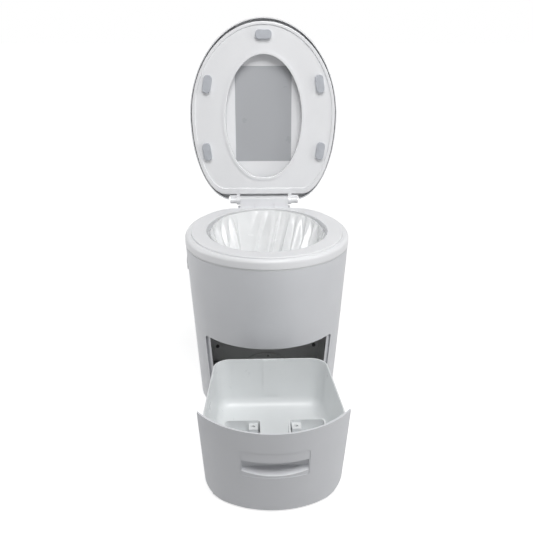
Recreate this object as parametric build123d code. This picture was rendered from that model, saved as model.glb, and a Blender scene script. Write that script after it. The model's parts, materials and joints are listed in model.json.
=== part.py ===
from build123d import *
import math
import os

# A camping toilet: a tapered pedestal with a liner bag in its top, a film sealing unit inside,
# a waste drawer drawn out in front, and a seat and lid raised on a hinge at the back.
# Millimetres. +Z is up, +Y is to the back and +X to the right, seen from the front.
# Pieces are drawn about the middle of the pedestal. The last step shifts them, so that the
# origin lies on the floor under the middle of the whole object.

# Running values
over = 10
touch_gap = 0.3
slip_gap = 0.4
run_gap = 0.05

# Pedestal outline at three levels: half width, depth to the front and depth to the back
apron_z = 190
seam_z = 378
seam_half = 184
seam_front = 208
seam_back = 188
apron_half = seam_half - 12
apron_front = seam_front - 24
apron_back = seam_back - 5
floor_half = seam_half - 25
floor_front = seam_front - 60
floor_back = seam_back - 12
back_flat = 75
shell_wall = 3
shell_foot_z = 2

# Front opening, its rebate and the lip that the drawer front closes against
rebate_half_top = apron_half - 32
rebate_half_low = rebate_half_top - 12
rebate_top_z = 191.5
rebate_corner = 7
lip_width = 10
lip_depth = 3.8
lip_wall = 3
lip_frame = 10
opening_face_y = -40

# Base frame and feet
frame_low_z = 4
frame_high_z = 12
frame_gap_half = rebate_half_top - 16
frame_gap_back = 116
foot_radius = 8
foot_recess = 2
side_foot_x = frame_gap_half + 16
back_foot_x = 78
back_foot_y = 144
front_foot_x = frame_gap_half + 9
front_foot_y = -42

# Drawer chamber
chamber_half = apron_half - 20.5
chamber_front = 88
chamber_back = 112.5
chamber_corner = 12
chamber_wall = 2.5
chamber_top_z = 194
chamber_screw_x = chamber_half - 26.5
chamber_screw_z = 54
chamber_screw_head = 4.5
chamber_screw_head_height = 2.4
chamber_screw_shank = 2
chamber_screw_length = 12
screw_drive = 1.3
screw_drive_depth = 1.2
arch_radius = 80
arch_top_z = 34
arch_height = 3
arch_hole_radius = 2.5
arch_hole_x = 6
arch_hole_drop = 9

# Deck above the chamber, with the slot that a sealed pack drops through
deck_thickness = 3
drop_half_x = 104
drop_half_y = 34

# Top ring: shoulder, ledge and the recess for the cover ring
trim_height = 4.6
trim_reveal = 0.4
trim_width = 6
trim_edge = 0.8
ring_half = seam_half + 1
ring_front = seam_front + 1
ring_back = seam_back + 2
ring_flat = back_flat + 1
ring_top_z = seam_z + 22.4
ring_round = 8.5
ring_wall = 3
cover_half = ring_half - 14
cover_front = ring_front - 7
cover_back = ring_back - 6
cover_flat = ring_flat - 4
cover_top_z = seam_z + 26
cover_seat_z = cover_top_z - 6.6
cover_wall = 2.6
cover_round = 2
cover_inner_round = 1.2

# Opening that the bag hangs in, and the film cassette round it
mouth_half = cover_half - 34
mouth_front = cover_front - 36
mouth_back = cover_back - 10
mouth_flat = 10
mouth_lip_z = cover_top_z - 16
cassette_half = cover_half - 7
cassette_front = cover_front - 8
cassette_back = cover_back - 2
cassette_low_z = cover_seat_z - 52.4
cassette_wall = 2
cassette_inner_top_z = mouth_lip_z - 2
cassette_flange = 3
cassette_flange_height = 1.2
film_top_z = cassette_inner_top_z - 2
film_wall_gap = 0.4

# Liner bag
bag_wall = 1.2
bag_side_gap = 5
bag_end_gap = 2
bag_top_z = cover_top_z - 5
bag_foot_gap = 4
bag_middle_half = mouth_half - 15
bag_middle_front = mouth_front - 34
bag_middle_back = mouth_back - 34
bag_bottom_half = mouth_half - 41
bag_bottom_depth = 9
bag_flange = 1.2

# Sealing unit: side plates, rods and jaws
plate_inner_x = mouth_half - 19
plate_thickness = 3
plate_front_y = -62
plate_back_y = 34
plate_top_z = 272
rod_radius = 4
rod_x = plate_inner_x - 8
rod_z = 220
rod_bar_front_y = -48
rod_bar_depth = 7
jaw_depth = 9
jaw_low_z = 206
jaw_high_z = 234
fixed_face_y = 5
strip_thickness = 1
strip_height = 8
pad_thickness = 2.5
pad_height = 12
jaw_end_gap = 0.5
gear_module = 1
rack_pitches = 5
rack_x = 60
rack_width = 7
rack_height = 6
rack_top_z = 214
rack_length = 58
pinion_teeth = 12
mesh_gap = 0.35
seal_pinion_y = -66
motor_radius = 11
motor_length = 34
motor_shaft_radius = 1.5
motor_bracket_thickness = 2
motor_bracket_margin = 4

# Film feed rollers and their gears
roller_radius = 10
roller_nip = 0.6
roller_end_gap = 2
roller_z = 257
roller_shaft_radius = 3
roller_gear_teeth = 20
roller_gear_width = 6
roller_gear_gap = 1
feed_motor_length = 24
feed_motor_radius = 9

# Electronics and power at the back
battery_width = 116
battery_depth = 34
battery_height = 70
battery_low_z = 40
battery_corner = 6
battery_top_round = 2
door_half = 66
door_margin_z = 8
door_corner = 8
door_gap = 0.6
board_width = 120
board_height = 60
board_thickness = 1.6
board_low_z = 205
board_y = 150
chip_size = 14
chip_height = 3
chip_spacing = 34
standoff_radius = 3
socket_x = -48
socket_z = 150
socket_radius = 7
socket_bore_radius = 4
socket_pin_radius = 1
socket_depth = 14
socket_flange = 2

# Control on the left side
control_z = 330
control_height = 42
control_width = 24
control_proud = 1.6
control_depth = 8
control_corner = 10.4
switch_arm = 1.6
button_radius = 8
button_proud = 1.2
button_travel = 2
button_rim = 1.2
button_rim_width = 1.2
button_gap = 0.2

# Hinge: axis, block, bracket and pin
pin_y = ring_back + 45
pin_z = cover_top_z + 7
pin_radius = 4
block_half = 61.5
block_front_y = pin_y - 13
block_back_y = pin_y + 13
block_top_z = pin_z + 9.5
block_round = 2.5
slit_x = 25
slit_width = 2
slit_height = 10
slit_depth = 4
bracket_half = block_half + 6.5
bracket_top_z = cover_top_z - 10.5
bracket_lip_z = bracket_top_z - 13.5
bracket_drop_z = seam_z - 78
bracket_deep_y = 150
bracket_gap = 1.5
bracket_round = 5
hinge_screw_x = 44
hinge_screw_radius = 2
hinge_screw_head = 4
hinge_screw_head_height = 2.5
hinge_screw_bite = 11
knuckle_width = 9.4
knuckle_radius = 11
knuckle_arm_u = 25
cap_width = 16.5
cap_radius = 8.2
cap_arm_low_u = 3
cap_arm_high_u = 13

# Seat, drawn lowered: u runs to the front from the hinge axis and v up from it
raised_angle = 93
seat_back_u = 16
seat_wide_u = 215
seat_tip_u = 438
seat_half = 179.5
seat_flat = 98
seat_thickness = 16
seat_round = 7
seat_low_round = 2
seat_hole_back_u = 59.5
seat_hole_tip_u = 361.5
seat_hole_half = 95.5
seat_hole_flat = 8
seat_hole_round = 5
seat_ledge_half = 66
seat_ledge_u = knuckle_arm_u + 2
seat_ledge_height = 1.2
dish_depth = 2.5
dish_edge = 7
dish_hole_edge = 7
dish_back_u = seat_ledge_u + 3
dish_round = 2
bumper_height = 6.7
bumper_length = 22.5
bumper_width = 40
bumper_side_length = 44
bumper_side_width = 20.5
bumper_corner = 9.5
bumper_round = 2
front_bumper_u = seat_tip_u - 30.5
middle_bumper_u = 291.5
middle_bumper_x = seat_half - 40
rear_bumper_u = 126
rear_bumper_x = seat_half - 36
bumper_tilt = 9

# Lid, drawn lowered round the seat
lid_wide_u = seat_wide_u - 3
lid_tip_u = seat_tip_u + 9.5
lid_half = seat_half + 5
lid_flat = 82
lid_low_v = 3
lid_top_v = 28
lid_wall = 2.8
lid_round = 13
lid_notch_half = 91
lid_notch_u = seat_back_u + 11
label_half = 71
label_low_u = 98
label_high_u = 334
label_thickness = 0.4
label_corner = 3
buffer_radius = 6
buffer_gap = 0.3
buffer_u_front = seat_tip_u - 38
buffer_u_rear = 120
buffer_x_front = 60
buffer_x_rear = seat_half - 40

# Drawer, drawn closed, then pulled out
drawer_pull = 314
panel_wall = 3.5
panel_edge_gap = 1.3
panel_low_z = 5
panel_low_corner = 34
panel_top_corner = 3
tray_rim_z = rebate_top_z - 3.5
tray_floor_z = 82
tray_wall = 2.6
tray_back_y = 94
tray_front_half = rebate_half_top - lip_width - 3
tray_back_half = tray_front_half - 12.5
tray_front_y = -104
tray_corner = 35
tray_draft = 3.5
tray_floor_round = 22
tray_foot_z = 3.5
tray_rib_half = 15
tray_rib_low_z = 108
tray_rib_height = 2
glide_width = 8
glide_length = 22
glide_front_y = -62
glide_back_y = 48
pocket_inner_x = 26
pocket_outer_x = 86
pocket_back_y = -136
pocket_corner = 6
pocket_floor_z = 165.6
lug_x = 37.7
lug_width = 16
lug_length = 19
lug_top_z = 182
lug_height = 9.6
lug_bore = 3.1
lug_bore_depth = 6
lug_hole = 1.9
ear_height = 5.6
ear_width = 12
ear_gap = 0.3
panel_screw_radius = 1.7
panel_screw_head = 2.9
panel_screw_head_height = 2

# Handle in the drawer front
handle_half = 61.5
handle_low_z = 88
handle_high_z = 146
handle_lip_z = 124
handle_corner = 4
handle_gap = 0.2
handle_step = 0.7
handle_depth = 24
handle_wall = 2
handle_lip_wall = 6
handle_finger_z = 140
handle_slope_rise = 13
handle_slope_start = 2

# Shares of other sizes
rack_foot_share = 0.68
rack_tip_share = 0.2
tooth_foot_share = 0.62
tooth_tip_share = 0.22
tooth_root_share = 1.25
tooth_height_share = 0.9
motor_bore_share = 0.75
motor_edge_share = 0.1

# Worked out from the sizes above
reach = 4 * seam_half
trim_low_z = seam_z - trim_height / 2
trim_high_z = trim_low_z + trim_height
shell_top_z = trim_low_z
deck_low_z = chamber_top_z
deck_top_z = deck_low_z + deck_thickness
jaw_travel = rack_pitches * math.pi * gear_module
moving_pad_y = fixed_face_y - strip_thickness - touch_gap - jaw_travel
pinion_pitch_radius = pinion_teeth * gear_module / 2
gear_pitch_radius = roller_gear_teeth * gear_module / 2
roller_y = roller_radius + roller_nip / 2
bag_bottom_z = roller_z + roller_radius + bag_foot_gap
bag_middle_z = (bag_top_z + bag_bottom_z) / 2
bag_half = mouth_half - bag_side_gap
bag_front = mouth_front - bag_end_gap
bag_back = mouth_back - bag_end_gap


def level_size(z, at_floor, at_apron, at_seam):
    """A pedestal size at height z, on the smooth curve through its three levels."""
    up = z / seam_z
    apron = apron_z / seam_z
    from_floor = (up - apron) * (up - 1) / apron
    from_apron = up * (up - 1) / (apron * (apron - 1))
    from_seam = up * (up - apron) / (1 - apron)
    return at_floor * from_floor + at_apron * from_apron + at_seam * from_seam


def half_at(z):
    return level_size(z, floor_half, apron_half, seam_half)


def front_at(z):
    return level_size(z, floor_front, apron_front, seam_front)


def back_at(z):
    return level_size(z, floor_back, apron_back, seam_back)


def egg(half, front, back, flat):
    """A plan outline with an elliptic front, quarter-elliptic rear corners and a flat back."""
    edges = [
        EllipticalCenterArc((0, 0), half, front, start_angle=180, arc_size=180),
        EllipticalCenterArc((flat, 0), half - flat, back, start_angle=0, arc_size=90),
        Line((flat, back), (-flat, back)),
        EllipticalCenterArc((-flat, 0), half - flat, back, start_angle=90, arc_size=90),
    ]
    return make_face(Curve() + edges)


def egg_prism(low, high, half, front, back, flat, inset=0):
    """An upright prism on the egg outline, drawn in by inset."""
    face = egg(half - inset, front - inset, back - inset, flat)
    return extrude(Pos(0, 0, low) * face, high - low)


def block(x0, x1, y0, y1, z0, z1):
    """A box between two corners."""
    size = Box(x1 - x0, y1 - y0, z1 - z0)
    return Pos((x0 + x1) / 2, (y0 + y1) / 2, (z0 + z1) / 2) * size


def slab(low, high):
    """Everything between two heights."""
    return block(-reach, reach, -reach, reach, low, high)


def pedestal(inset):
    """The pedestal's solid form, drawn in by inset, running past both its ends."""
    faces = []
    for z in (-over, apron_z, seam_z + over):
        face = egg(half_at(z) - inset, front_at(z) - inset, back_at(z) - inset, back_flat)
        faces.append(Pos(0, 0, z) * face)
    return loft(faces)


def upright_outline(half_top, half_low, low, high, corner_top, corner_low):
    """A tapered upright outline in the XZ plane, with rounded corners."""
    points = [(-half_low, low), (half_low, low), (half_top, high), (-half_top, high)]
    face = make_face(Polyline(*points, close=True))
    if corner_top:
        face = fillet(face.vertices().group_by(Axis.Y)[-1], corner_top)
    if corner_low:
        face = fillet(face.vertices().group_by(Axis.Y)[0], corner_low)
    return face


def along_y(face, y0, y1):
    """A face drawn in X and Z, carried from y0 to y1."""
    return extrude(Plane.XZ.offset(-y1) * face, y1 - y0)


def rod(axis_dir, centre, radius, length):
    """A cylinder from a centre of its first end, along a direction."""
    return extrude(Plane(centre, z_dir=axis_dir) * Circle(radius), length)


def rounded_box(width, depth, height, corner):
    """A box on a rounded rectangle, standing on the XY plane."""
    return extrude(RectangleRounded(width, depth, corner), height)


def mirrored_x(shape):
    return mirror(shape, about=Plane.YZ)


def both_sides(shape):
    """A piece and its mirror image left and right."""
    return [shape, mirrored_x(shape)]


def screw(head_radius, head_height, shank_radius, shank_length):
    """A cross-drive screw, its head on the XY plane and its shank pointing down."""
    head = extrude(Circle(head_radius), head_height)
    shank = extrude(Circle(shank_radius), -shank_length)
    slot = Pos(0, 0, head_height) * Box(head_radius, screw_drive, screw_drive_depth)
    return head + shank - slot - Rot(0, 0, 90) * slot


# Pedestal

def rebate_prism(inner):
    """The front opening, full size at the rebate or drawn in to the lip."""
    step = lip_width if inner else 0
    face = upright_outline(
        rebate_half_top - step, rebate_half_low - step, -over, rebate_top_z, rebate_corner, 0
    )
    return along_y(face, -reach, opening_face_y)


def lip_zone(low, gap):
    """The thickened band inside the shell that carries the lip on both sides."""
    frame = upright_outline(
        rebate_half_top + lip_frame + gap, rebate_half_low + lip_frame + gap,
        low, rebate_top_z + gap, 0, 0,
    )
    ring = pedestal(shell_wall) - pedestal(lip_depth + lip_wall + gap)
    return ring & along_y(frame, -reach, opening_face_y + gap)


def body_shell():
    """The tapered outer shell with the front opening, its rebate and the holes at side and back."""
    solid = pedestal(0) & slab(shell_foot_z, shell_top_z)
    shell = solid - pedestal(shell_wall)
    shell += lip_zone(shell_foot_z, 0)
    shell -= rebate_prism(False) - pedestal(lip_depth)
    shell -= rebate_prism(True)
    shell -= battery_window(0)
    shell -= socket_hole()
    shell -= control_hole()
    return shell


def base_frame():
    """A U-shaped floor frame, open to the front so that the drawer runs on the ground."""
    frame = pedestal(shell_wall + slip_gap) & slab(frame_low_z, frame_high_z)
    frame -= lip_zone(-over, slip_gap)
    frame -= block(-frame_gap_half, frame_gap_half, -reach, frame_gap_back, -over, reach)
    for x, y in foot_places():
        frame -= Pos(x, y, frame_low_z) * extrude(Circle(foot_radius), foot_recess)
    return frame


def foot_places():
    """Feet on the side rails and the back rail of the base frame."""
    right = [(side_foot_x, 0), (back_foot_x, back_foot_y), (front_foot_x, front_foot_y)]
    return right + [(-x, y) for x, y in right]


def rubber_feet():
    height = frame_low_z + foot_recess
    return [Pos(x, y, 0) * extrude(Circle(foot_radius), height) for x, y in foot_places()]


def chamber_plan(shrink):
    depth = chamber_back + chamber_front
    face = RectangleRounded(2 * (chamber_half - shrink), depth - 2 * shrink, chamber_corner - shrink)
    return Pos(0, (chamber_back - chamber_front) / 2, 0) * face


def drawer_chamber():
    """A dark three-walled liner that the drawer slides into."""
    height = chamber_top_z - frame_high_z
    outer = extrude(Pos(0, 0, frame_high_z) * chamber_plan(0), height)
    outer = outer & pedestal(shell_wall + slip_gap)
    inner = extrude(Pos(0, 0, frame_high_z - over) * chamber_plan(chamber_wall), height + 2 * over)
    inner = inner & pedestal(shell_wall + slip_gap + chamber_wall)
    chamber = outer - inner - lip_zone(-over, slip_gap)
    chamber -= block(-reach, reach, -reach, chamber_corner - chamber_front, 0, reach)
    for side in (-1, 1):
        place = (side * chamber_screw_x, chamber_back + over, chamber_screw_z)
        chamber -= rod((0, -1, 0), place, chamber_screw_shank + run_gap, chamber_wall + 2 * over)
    chamber -= rod((0, -1, 0), arch_hole_place(over), arch_hole_radius, chamber_wall + 2 * over)
    return chamber


def arch_hole_place(behind):
    return (arch_hole_x, chamber_back + behind, arch_top_z - arch_hole_drop)


def chamber_screws():
    """Screws through the rear wall of the chamber, heads towards the drawer."""
    face_y = chamber_back - chamber_wall
    one = screw(chamber_screw_head, chamber_screw_head_height, chamber_screw_shank, chamber_screw_length)
    turned = Rot(90, 0, 0) * one
    return [Pos(side * chamber_screw_x, face_y, chamber_screw_z) * turned for side in (-1, 1)]


def sensor_cover():
    """A low arched cover at the foot of the rear wall, with the small hole of the drawer sensor."""
    face_y = chamber_back - chamber_wall
    disc = rod((0, -1, 0), (0, face_y, arch_top_z - arch_radius), arch_radius, arch_height)
    front_rim = disc.faces().sort_by(Axis.Y)[0].edges()
    disc = chamfer(front_rim, arch_height / 2) & slab(frame_high_z, reach)
    return disc - rod((0, -1, 0), arch_hole_place(over), arch_hole_radius, reach)


def mid_deck():
    """The floor of the sealing unit, with the slot that a pack drops through."""
    deck = pedestal(shell_wall + slip_gap) & slab(deck_low_z, deck_top_z)
    return deck - block(-drop_half_x, drop_half_x, -drop_half_y, drop_half_y, 0, reach)


# Top of the pedestal

def seam_trim():
    """A thin trim between pedestal and top ring, its edges broken to leave two fine lines."""
    sizes = (seam_half, seam_front, seam_back, back_flat)
    outer = egg_prism(trim_low_z, trim_high_z, *sizes, trim_reveal)
    level_faces = outer.faces().filter_by(Axis.Z)
    outer = chamfer([edge for face in level_faces for edge in face.edges()], trim_edge)
    return outer - egg_prism(trim_low_z - over, trim_high_z + over, *sizes, trim_width)


def top_ring():
    """The outer ring: skirt, rounded shoulder, and a recess that the cover ring lies in."""
    sizes = (ring_half, ring_front, ring_back, ring_flat)
    ring = egg_prism(trim_high_z, ring_top_z, *sizes)
    ring = fillet(ring.faces().sort_by(Axis.Z)[-1].edges(), ring_round)
    ring -= egg_prism(trim_high_z - over, cover_seat_z - ring_wall, *sizes, ring_wall)
    ring -= egg_prism(cover_seat_z, reach, cover_half, cover_front, cover_back, cover_flat, -slip_gap)
    well = (cassette_half, cassette_front, cassette_back, cover_flat)
    seat_z = cover_seat_z - cassette_flange_height
    ring -= egg_prism(seat_z, reach, *well, -(cassette_flange + slip_gap))
    return ring - egg_prism(0, reach, *well, -slip_gap)


def cover_ring():
    """The flat ring on top, whose inner lip holds the film down."""
    sizes = (cover_half, cover_front, cover_back, cover_flat)
    mouth = (mouth_half, mouth_front, mouth_back, mouth_flat)
    ring = egg_prism(cover_seat_z, cover_top_z, *sizes)
    ring = fillet(ring.faces().sort_by(Axis.Z)[-1].edges(), cover_round)
    hollow = egg_prism(cover_seat_z - over, cover_top_z - cover_wall, *sizes, cover_wall)
    hollow -= egg_prism(0, reach, *mouth, -cover_wall)
    ring -= hollow
    ring += egg_prism(mouth_lip_z, cover_top_z - cover_wall, *mouth, -cover_wall)
    ring -= egg_prism(0, reach, *mouth)
    rim = ring.faces().sort_by(Axis.Z)[-1].inner_wires()[0].edges()
    return fillet(rim, cover_inner_round)


def film_cassette():
    """A ring-shaped tray round the opening that holds the folded film."""
    outer = (cassette_half, cassette_front, cassette_back, cover_flat)
    mouth = (mouth_half, mouth_front, mouth_back, mouth_flat)
    tray = egg_prism(cassette_low_z, cover_seat_z, *outer)
    tray += egg_prism(cover_seat_z - cassette_flange_height, cover_seat_z, *outer, -cassette_flange)
    tray -= egg_prism(0, reach, *mouth, -slip_gap)
    channel = egg_prism(cassette_low_z + cassette_wall, reach, *outer, cassette_wall)
    channel -= egg_prism(0, reach, *mouth, -(slip_gap + cassette_wall))
    tray -= channel
    return tray - egg_prism(cassette_inner_top_z, reach, *mouth, -(slip_gap + cassette_wall + slip_gap))


def film_pack():
    """The folded film tube, packed in the cassette."""
    outer = (cassette_half, cassette_front, cassette_back, cover_flat)
    mouth = (mouth_half, mouth_front, mouth_back, mouth_flat)
    low = cassette_low_z + cassette_wall
    pack = egg_prism(low, film_top_z, *outer, cassette_wall + film_wall_gap)
    return pack - egg_prism(0, reach, *mouth, -(slip_gap + cassette_wall + film_wall_gap))


def bag_form(inset):
    """The bag's outer or inner form, from its open mouth down to the flat gather."""
    rise = over if inset else 0
    floor_z = bag_bottom_z + (bag_wall if inset else 0)
    levels = [
        (bag_top_z + rise, bag_half, bag_front, bag_back),
        (bag_middle_z, bag_middle_half, bag_middle_front, bag_middle_back),
        (floor_z, bag_bottom_half, bag_bottom_depth, bag_bottom_depth),
    ]
    faces = []
    for z, half, front, back in levels:
        faces.append(Pos(0, 0, z) * egg(half - inset, front - inset, back - inset, mouth_flat))
    return loft(faces, ruled=True)


def liner_bag():
    """The bag that hangs in the opening, with a flange nipped over the cassette's inner wall."""
    flange_low = cassette_inner_top_z
    mouth = (mouth_half, mouth_front, mouth_back, mouth_flat)
    flange = egg_prism(flange_low, flange_low + bag_flange, *mouth, -(slip_gap + cassette_wall))
    return (bag_form(0) + flange) - bag_form(bag_wall)


# Sealing unit

def side_plates():
    """Two plates that carry the rods, the fixed jaw and the rollers."""
    plate = block(
        plate_inner_x, plate_inner_x + plate_thickness, plate_front_y, plate_back_y,
        deck_top_z, plate_top_z,
    )
    for y in (-roller_y, roller_y):
        plate -= rod((1, 0, 0), (0, y, roller_z), roller_shaft_radius + run_gap, reach)
    return both_sides(plate)


def rod_ends():
    """X places of the two guide rods."""
    return (-rod_x, rod_x)


def rod_bar():
    """The front bar that holds the guide rods, notched for the rack."""
    bar = block(
        -plate_inner_x, plate_inner_x, rod_bar_front_y, rod_bar_front_y + rod_bar_depth,
        deck_top_z, jaw_high_z,
    )
    notch_low = rack_top_z - rack_height - touch_gap
    notch_high = rack_top_z + touch_gap
    half = rack_width / 2 + touch_gap
    bar -= block(rack_x - half, rack_x + half, -reach, reach, notch_low, notch_high)
    for x in rod_ends():
        bar -= rod((0, 1, 0), (x, -reach, rod_z), rod_radius, 2 * reach)
    return bar


def guide_rods():
    length = fixed_face_y + jaw_depth - rod_bar_front_y
    return [rod((0, 1, 0), (x, rod_bar_front_y, rod_z), rod_radius, length) for x in rod_ends()]


def fixed_jaw():
    jaw = block(
        -plate_inner_x, plate_inner_x, fixed_face_y, fixed_face_y + jaw_depth, deck_top_z, jaw_high_z
    )
    for x in rod_ends():
        jaw -= rod((0, 1, 0), (x, 0, rod_z), rod_radius, reach)
    return jaw


def heater_strip():
    half = bag_bottom_half + over
    middle = (jaw_low_z + jaw_high_z) / 2
    low = middle - strip_height / 2
    return block(-half, half, fixed_face_y - strip_thickness, fixed_face_y, low, low + strip_height)


def moving_jaw():
    """The jaw that slides on the rods, with the rack below."""
    half = plate_inner_x - jaw_end_gap
    back = moving_pad_y - pad_thickness
    jaw = block(-half, half, back - jaw_depth, back, jaw_low_z, jaw_high_z)
    for x in rod_ends():
        jaw -= rod((0, 1, 0), (x, -reach, rod_z), rod_radius + run_gap, 2 * reach)
    return jaw


def silicone_pad():
    half = bag_bottom_half + over
    middle = (jaw_low_z + jaw_high_z) / 2
    low = middle - pad_height / 2
    return block(-half, half, moving_pad_y - pad_thickness, moving_pad_y, low, low + pad_height)


def rack_tooth(y, root_z):
    """One straight-sided tooth of the rack."""
    foot = math.pi * gear_module * rack_foot_share / 2
    tip = math.pi * gear_module * rack_tip_share / 2
    points = [(y - foot, root_z), (y + foot, root_z), (y + tip, rack_top_z), (y - tip, rack_top_z)]
    face = make_face(Polyline(*points, close=True))
    return extrude(Plane.YZ.offset(rack_x - rack_width / 2) * face, rack_width)


def jaw_rack():
    """A toothed bar from the moving jaw to its pinion, with its teeth on top."""
    back = moving_pad_y - pad_thickness - jaw_depth
    front = back - rack_length
    root_z = rack_top_z - gear_module * (1 + tooth_root_share)
    half = rack_width / 2
    bar = block(rack_x - half, rack_x + half, front, back, rack_top_z - rack_height, root_z)
    pitch = math.pi * gear_module
    first = math.ceil((front - seal_pinion_y) / pitch) + 1
    last = math.floor((back - seal_pinion_y) / pitch) - 1
    teeth = [rack_tooth(seal_pinion_y + count * pitch, root_z) for count in range(first, last)]
    return bar.fuse(*teeth)


def gear_face(teeth):
    """A spur gear outline with straight-sided teeth, one tooth on the local X axis."""
    pitch_radius = teeth * gear_module / 2
    root = pitch_radius - gear_module * tooth_root_share
    tip = pitch_radius + gear_module * tooth_height_share
    step = 2 * math.pi / teeth
    corners = [
        (root, -tooth_foot_share),
        (tip, -tooth_tip_share),
        (tip, tooth_tip_share),
        (root, tooth_foot_share),
    ]
    points = []
    for tooth in range(teeth):
        for radius, share in corners:
            angle = (tooth + share / 2) * step
            points.append((radius * math.cos(angle), radius * math.sin(angle)))
    return make_face(Polyline(*points, close=True))


def gear(teeth, centre, width, turn, bore):
    """A gear on an axis along X, turned so that its teeth mesh."""
    face = Rot(0, 0, turn) * gear_face(teeth)
    if bore:
        face -= Circle(bore)
    return extrude(Plane(centre, x_dir=(0, 1, 0), z_dir=(1, 0, 0)) * face, width)


def seal_pinion_z():
    return rack_top_z - gear_module + pinion_pitch_radius + mesh_gap


def seal_pinion():
    """The pinion over the rack, with its own stub shaft into the motor."""
    start = rack_x - rack_width / 2
    centre = (start, seal_pinion_y, seal_pinion_z())
    gap_below = 90 + 180 / pinion_teeth
    pinion = gear(pinion_teeth, centre, rack_width, gap_below, 0)
    length = rack_width + motor_bracket_thickness + motor_length / 2
    return pinion + rod((1, 0, 0), centre, motor_shaft_radius, length)


def motor(front_x, y, z, radius, length):
    """A motor can on its side, with a blind bore for the shaft."""
    can = rod((1, 0, 0), (front_x, y, z), radius, length)
    can = chamfer(can.edges().filter_by(GeomType.CIRCLE), radius * motor_edge_share)
    bore_length = over + length * motor_bore_share
    return can - rod((1, 0, 0), (front_x - over, y, z), motor_shaft_radius + run_gap, bore_length)


def motor_bracket(motor_x, y, z, radius):
    """An upright plate on the deck that a motor's front is fixed to."""
    half = radius + motor_bracket_margin
    plate = block(motor_x - motor_bracket_thickness, motor_x, y - half, y + half, deck_top_z, z + half)
    return plate - rod((1, 0, 0), (0, y, z), motor_shaft_radius + touch_gap, reach)


def seal_motor_x():
    return rack_x + rack_width / 2 + touch_gap + motor_bracket_thickness


def seal_motor():
    return motor(seal_motor_x(), seal_pinion_y, seal_pinion_z(), motor_radius, motor_length)


def feed_gear_x():
    return plate_inner_x + plate_thickness + roller_gear_gap


def feed_pinion_y():
    return -roller_y - gear_pitch_radius - pinion_pitch_radius - mesh_gap


def feed_motor_x():
    return feed_gear_x() + roller_gear_width + touch_gap + motor_bracket_thickness


def feed_motor():
    return motor(feed_motor_x(), feed_pinion_y(), roller_z, feed_motor_radius, feed_motor_length)


def motor_brackets():
    return [
        motor_bracket(seal_motor_x(), seal_pinion_y, seal_pinion_z(), motor_radius),
        motor_bracket(feed_motor_x(), feed_pinion_y(), roller_z, feed_motor_radius),
    ]


def roller(y):
    """A rubber-covered feed roller, without its shaft."""
    half = plate_inner_x - roller_end_gap
    tube = rod((1, 0, 0), (-half, y, roller_z), roller_radius, 2 * half)
    return tube - rod((1, 0, 0), (-reach, y, roller_z), roller_shaft_radius, 2 * reach)


def roller_shaft(y):
    start = -plate_inner_x - plate_thickness
    end = feed_gear_x() + roller_gear_width
    return rod((1, 0, 0), (start, y, roller_z), roller_shaft_radius, end - start)


def roller_gear(y, turn):
    centre = (feed_gear_x(), y, roller_z)
    return gear(roller_gear_teeth, centre, roller_gear_width, turn, roller_shaft_radius)


def feed_pinion():
    """The motor's pinion, in mesh with the front roller's gear."""
    centre = (feed_gear_x(), feed_pinion_y(), roller_z)
    pinion = gear(pinion_teeth, centre, roller_gear_width, 180 / pinion_teeth, 0)
    length = roller_gear_width + motor_bracket_thickness + feed_motor_length / 2
    return pinion + rod((1, 0, 0), centre, motor_shaft_radius, length)


# Electronics and power

def battery_middle_y():
    return chamber_back + (back_at(battery_low_z) - shell_wall - chamber_back) / 2


def battery_pack():
    pack = rounded_box(battery_width, battery_depth, battery_height, battery_corner)
    pack = fillet(pack.faces().sort_by(Axis.Z)[-1].edges(), battery_top_round)
    return Pos(0, battery_middle_y(), battery_low_z) * pack


def battery_tray():
    """A shelf on the base frame that the battery stands on."""
    half = battery_width / 2 + battery_corner
    front = chamber_back + slip_gap
    shelf = block(-half, half, front, reach, battery_low_z - chamber_wall, battery_low_z)
    for x in (-half, half - chamber_wall):
        shelf += block(x, x + chamber_wall, front, reach, frame_high_z, battery_low_z)
    return shelf & pedestal(shell_wall + slip_gap)


def battery_window(gap):
    """The opening in the rear wall for the battery door, drawn in by gap."""
    low = battery_low_z - door_margin_z + gap
    high = battery_low_z + battery_height + door_margin_z - gap
    half = door_half - gap
    face = upright_outline(half, half, low, high, door_corner, door_corner)
    return along_y(face, chamber_back + over, reach)


def battery_door():
    skin = pedestal(0) - pedestal(shell_wall)
    return skin & battery_window(door_gap)


def control_board():
    """The circuit board behind the sealing unit, with its chips."""
    half = board_width / 2
    board = block(-half, half, board_y, board_y + board_thickness, board_low_z, board_low_z + board_height)
    chips = []
    for count in (-1, 0, 1):
        x = count * chip_spacing
        middle = board_low_z + board_height / 2
        chips.append(block(
            x - chip_size / 2, x + chip_size / 2, board_y - chip_height, board_y,
            middle - chip_size / 2, middle + chip_size / 2,
        ))
    return board.fuse(*chips)


def board_posts():
    """Posts from the deck that hold the board up."""
    x = board_width / 2 - standoff_radius
    y = board_y + board_thickness + standoff_radius
    length = board_low_z + board_height - deck_top_z
    return both_sides(rod((0, 0, 1), (x, y, deck_top_z), standoff_radius, length))


def socket_place():
    return (socket_x, back_at(socket_z), socket_z)


def socket_hole():
    x, y, z = socket_place()
    return rod((0, -1, 0), (x, y + over, z), socket_radius, socket_depth + over)


def dc_socket():
    """The power inlet in the rear wall, with its bore and centre pin."""
    x, y, z = socket_place()
    body = rod((0, -1, 0), (x, y, z), socket_radius, socket_depth)
    flange = rod((0, 1, 0), (x, y - socket_flange, z), socket_radius + socket_flange, 2 * socket_flange)
    flange -= pedestal(0)
    bore = rod((0, -1, 0), (x, y + over, z), socket_bore_radius, socket_depth - socket_flange + over)
    pin = rod((0, -1, 0), (x, y, z), socket_pin_radius, socket_depth - socket_flange)
    return (body + flange) - bore + pin


# Control on the left side

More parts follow.
